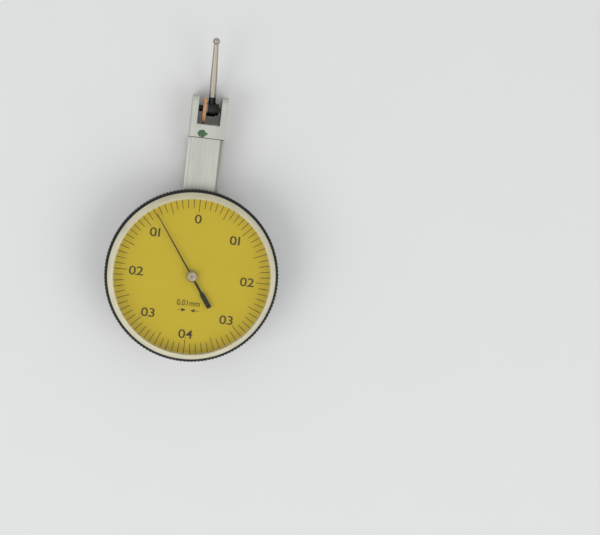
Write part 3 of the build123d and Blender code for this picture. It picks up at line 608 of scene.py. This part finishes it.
def metal_finishes():
    """The metals, with the nodes that are made of each."""
    x, y, z = 0, 1, 2
    brass = turned_metal("movement_brass", (0.52, 0.37, 0.13), (0.72, 0.54, 0.24), 0.28, x)
    brass_plate = flat_ground_metal("plate_brass", (0.55, 0.40, 0.16), (0.72, 0.55, 0.26), 0.32, y)
    steel = turned_metal("movement_steel", (0.42, 0.42, 0.43), (0.60, 0.60, 0.60), 0.26, x)
    upright_steel = turned_metal("staff_steel", (0.14, 0.14, 0.15), (0.26, 0.26, 0.26), 0.24, z)
    screw_steel = flat_ground_metal("screw_steel", (0.33, 0.325, 0.29), (0.49, 0.48, 0.43), 0.32, y)
    copper = flat_ground_metal("copper_lever", (0.52, 0.27, 0.145), (0.78, 0.44, 0.25), 0.38, y, SLOT_SHADE_Y)
    bright = turned_metal("bright_steel", (0.30, 0.27, 0.22), (0.385, 0.35, 0.29), 0.46, y, coarse=1.6)
    dull = flat_ground_metal("dull_steel", (0.16, 0.155, 0.14), (0.26, 0.25, 0.22), 0.45, y)
    blackened = turned_metal("black_steel", (0.014, 0.014, 0.016), (0.040, 0.039, 0.038), 0.36, x)
    spring = turned_metal("spring_steel", (0.10, 0.13, 0.24), (0.20, 0.24, 0.36), 0.24, z)
    cap = turned_metal("pointer_cap", (0.28, 0.235, 0.15), (0.355, 0.295, 0.195), 0.42, z)
    return {
        brass: ["crown_bushes", "sector_bushes", "hairspring_collet", "crown_wheel", "hairspring_stud"],
        brass_plate: ["movement_plate", "centre_cock", "sector_lever"],
        steel: ["crown_arbor", "sector_arbor", "drive_pin"],
        upright_steel: ["centre_staff"],
        screw_steel: ["plate_screws", "pivot_screws"],
        copper: ["contact_lever"],
        bright: ["stylus_shank", "contact_ball"],
        dull: ["friction_washer"],
        blackened: ["stylus_holder", "clamp_nut", "lever_axle"],
        spring: ["hairspring", "snap_ring"],
        cap: ["pointer_cap"],
    }


def other_finishes():
    """The other materials, with the nodes that are made of each."""
    return {
        satin_steel(): ["body"],
        black_enamel(): ["bezel_ring"],
        clear_cap(): ["crystal"],
        yellow_dial(): ["dial_plate"],
        black_hand(): ["pointer_hand"],
        ruby(): ["centre_jewels"],
    }


def paint_cad_nodes():
    """Every carried-over solid gets its material."""
    for material, names in {**metal_finishes(), **other_finishes()}.items():
        for name in names:
            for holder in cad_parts[name].material_slots:
                holder.material = material


def add_piece(name, builder, material, body):
    """New piece of the object that rides on a body."""
    mesh = bpy.data.meshes.new(name)
    builder.to_mesh(mesh)
    builder.free()
    mesh.materials.append(material)
    piece = bpy.data.objects.new(name, mesh)
    bpy.context.scene.collection.objects.link(piece)
    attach(piece, body)


def raised(builder, outline, level):
    """Add a thin printed shape with a flat top over an outline of (x, y) points."""
    low = [builder.verts.new((x, y, level)) for x, y in outline]
    high = [builder.verts.new((x, y, level + INK_THICKNESS)) for x, y in outline]
    builder.faces.new(high)
    builder.faces.new(list(reversed(low)))
    for index, corner in enumerate(low):
        after = (index + 1) % len(low)
        builder.faces.new((corner, low[after], high[after], high[index]))


def dial_ticks(ink, level):
    """The 80 graduations."""
    builder = bmesh.new()
    side = TICK_WIDTH / 2
    for step in range(DIVISIONS):
        inner = TICK_OUTER_RADIUS - (TICK_LENGTH if step % LONGER_EVERY else TICK_LONGER)
        turn = Matrix.Rotation(-2 * math.pi * step / DIVISIONS, 2)
        corners = [(-side, inner), (side, inner), (side, TICK_OUTER_RADIUS), (-side, TICK_OUTER_RADIUS)]
        raised(builder, [turn @ Vector(corner) for corner in corners], level)
    add_piece("dial_ticks", builder, ink, "bezel")


def word_mesh(text, height, stroke):
    """Flat raised word, centred across, with its foot at zero."""
    data = bpy.data.curves.new("word", "FONT")
    data.body = text
    data.size = height / CAP_SHARE_OF_SIZE
    data.align_x = "CENTER"
    data.offset = stroke
    data.extrude = INK_THICKNESS / 2
    word = bpy.data.objects.new("word", data)
    bpy.context.scene.collection.objects.link(word)
    bpy.context.view_layer.update()
    made = bpy.data.meshes.new_from_object(word.evaluated_get(bpy.context.evaluated_depsgraph_get()))
    bpy.data.objects.remove(word)
    return made


def add_word(builder, mesh, stretch, centre, height, level):
    """Put a word's mesh in its place on the dial."""
    place = Matrix.Translation((centre[0], centre[1] - height / 2, level + INK_THICKNESS / 2))
    mesh.transform(place @ Matrix.Diagonal((stretch, 1, 1, 1)))
    builder.from_mesh(mesh)
    bpy.data.meshes.remove(mesh)


def spaced_number(builder, text, centre, level):
    """One number of the scale, with its point set close between two digits."""
    advance = NARROW_ADVANCE if text.endswith(NARROW_DIGIT) else NUMBER_ADVANCE
    digits = len(text.replace(POINT, ""))
    start = centre[0] - advance * (digits - 1) / 2
    foot = centre[1] - NUMBER_HEIGHT / 2
    column = 0
    for sign in text:
        across = start + advance * (column - 0.5 if sign == POINT else column)
        if sign != POINT:
            column += 1
        height = NUMBER_HEIGHT * (POINT_SHARE if sign == POINT else 1)
        mesh = word_mesh(sign, height, NUMBER_STROKE * height / NUMBER_HEIGHT)
        add_word(builder, mesh, NUMBER_STRETCH, (across, foot + height / 2), height, level)


def dial_numbers(ink, level):
    """Numbers of the balanced scale, all upright to the bar."""
    builder = bmesh.new()
    for text, (across, along) in NUMBER_PLACES.items():
        for side in (-1, 1) if across else (1,):
            spaced_number(builder, text, (side * across * MM, along * MM), level)
    add_piece("dial_numbers", builder, ink, "bezel")


def dial_unit(ink, level):
    """Value of one division under the centre."""
    builder = bmesh.new()
    mesh = word_mesh(UNIT_TEXT, UNIT_HEIGHT, UNIT_STROKE)
    places = [corner.co.x for corner in mesh.vertices]
    add_word(builder, mesh, UNIT_WIDTH / (max(places) - min(places)), UNIT_PLACE, UNIT_HEIGHT, level)
    add_piece("dial_unit", builder, ink, "bezel")


def dial_arrows(ink, level):
    """Two small arrows under the unit."""
    builder = bmesh.new()
    for side in (-1, 1):
        points = [(ARROW_PLACE[0] + side * x * MM, ARROW_PLACE[1] + y * MM) for x, y in ARROW_OUTLINE]
        raised(builder, points if side < 0 else list(reversed(points)), level)
    add_piece("dial_arrows", builder, ink, "bezel")


def paint_edge(angle):
    """Reach of the paint dot in metres, eased between its listed directions."""
    turns = angle / (2 * math.pi) * len(PAINT_REACH)
    before = int(turns) % len(PAINT_REACH)
    after = (before + 1) % len(PAINT_REACH)
    share = turns - int(turns)
    eased = share * share * (3 - 2 * share)
    reach = PAINT_REACH[before] * (1 - eased) + PAINT_REACH[after] * eased
    place = Vector((math.cos(angle) * PAINT_RAG_SCALE, math.sin(angle) * PAINT_RAG_SCALE, PAINT_RAG_LEVEL))
    return reach * (1 + PAINT_RAG_SHARE * noise.noise(place)) * MM


def paint_ring(builder, centre, share):
    """Ring of corners at a share of the paint dot's reach."""
    height = PAINT_THICKNESS * (1 - share ** 4)
    ring = []
    for step in range(PAINT_SIDES):
        angle = 2 * math.pi * step / PAINT_SIDES
        reach = share * paint_edge(angle)
        place = Vector((reach * math.cos(angle), reach * math.sin(angle), height))
        ring.append(builder.verts.new(centre + place))
    return ring


def paint_dot(level):
    """Small dab of paint with an uneven outline and a domed skin."""
    builder = bmesh.new()
    centre = Vector((*PAINT_PLACE, level))
    rings = [paint_ring(builder, centre, ring / PAINT_RINGS) for ring in range(1, PAINT_RINGS + 1)]
    top = builder.verts.new(centre + Vector((0, 0, PAINT_THICKNESS)))
    for step in range(PAINT_SIDES):
        after = (step + 1) % PAINT_SIDES
        builder.faces.new((top, rings[0][step], rings[0][after]))
        for inner, outer in zip(rings, rings[1:]):
            builder.faces.new((inner[step], outer[step], outer[after], inner[after]))
    for face in builder.faces:
        face.smooth = True
    add_piece("paint_dot", builder, green_paint(), "housing")


def floor_finish():
    """Pale, faintly clouded floor."""
    made, tree, shader = new_material("floor", {"Roughness": 0.7, "Specular IOR Level": 0.2})
    grain = noise_of(tree, object_place(tree), scale=60, detail=3.0)
    paler = tuple(FLOOR_PALER * part for part in FLOOR_COLOUR)
    connect(tree, shader, {"Base Color": mixed(tree, grain, paler, FLOOR_COLOUR)})
    return made


def make_floor():
    """Pale floor under the object."""
    signs = ((-1, -1), (1, -1), (1, 1), (-1, 1))
    corners = [(x * FLOOR_HALF, y * FLOOR_HALF, -FLOOR_GAP) for x, y in signs]
    mesh = bpy.data.meshes.new("floor")
    mesh.from_pydata(corners, [], [(0, 1, 2, 3)])
    mesh.materials.append(floor_finish())
    floor = bpy.data.objects.new("floor", mesh)
    bpy.context.scene.collection.objects.link(floor)


def make_sky():
    """Even light, brighter where it is seen or mirrored than where it falls."""
    world = bpy.data.worlds.new("studio")
    world.use_nodes = True
    tree = world.node_tree
    rays = add_node(tree, "ShaderNodeLightPath").outputs
    mirrored = maths(tree, "MAXIMUM", rays["Is Glossy Ray"], rays["Is Transmission Ray"])
    seen = maths(tree, "MAXIMUM", rays["Is Camera Ray"], mirrored)
    background = tree.nodes["Background"]
    background.inputs["Color"].default_value = rgba(WORLD_COLOUR)
    tree.links.new(ranged(tree, seen, 0.0, 1.0, WORLD_LIGHT, WORLD_SEEN), background.inputs["Strength"])
    bpy.context.scene.world = world


def make_lamps():
    """Two large soft lamps that face the object."""
    for name, (place, watts) in LAMPS.items():
        data = bpy.data.lights.new(name, "AREA")
        data.size = LAMP_SIZE
        data.energy = watts
        lamp = bpy.data.objects.new(name, data)
        lamp.location = place
        lamp.rotation_mode = "QUATERNION"
        lamp.rotation_quaternion = (-place).to_track_quat("-Z", "Y")
        bpy.context.scene.collection.objects.link(lamp)


def main():
    """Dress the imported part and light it."""
    set_colour_management()
    make_camera()
    paint_cad_nodes()
    ink = printed_ink()
    dial_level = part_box("dial_plate")[1].z
    dial_ticks(ink, dial_level)
    dial_numbers(ink, dial_level)
    dial_unit(ink, dial_level)
    dial_arrows(ink, dial_level)
    paint_dot(BAR_FRONT)
    make_floor()
    make_sky()
    make_lamps()


main()
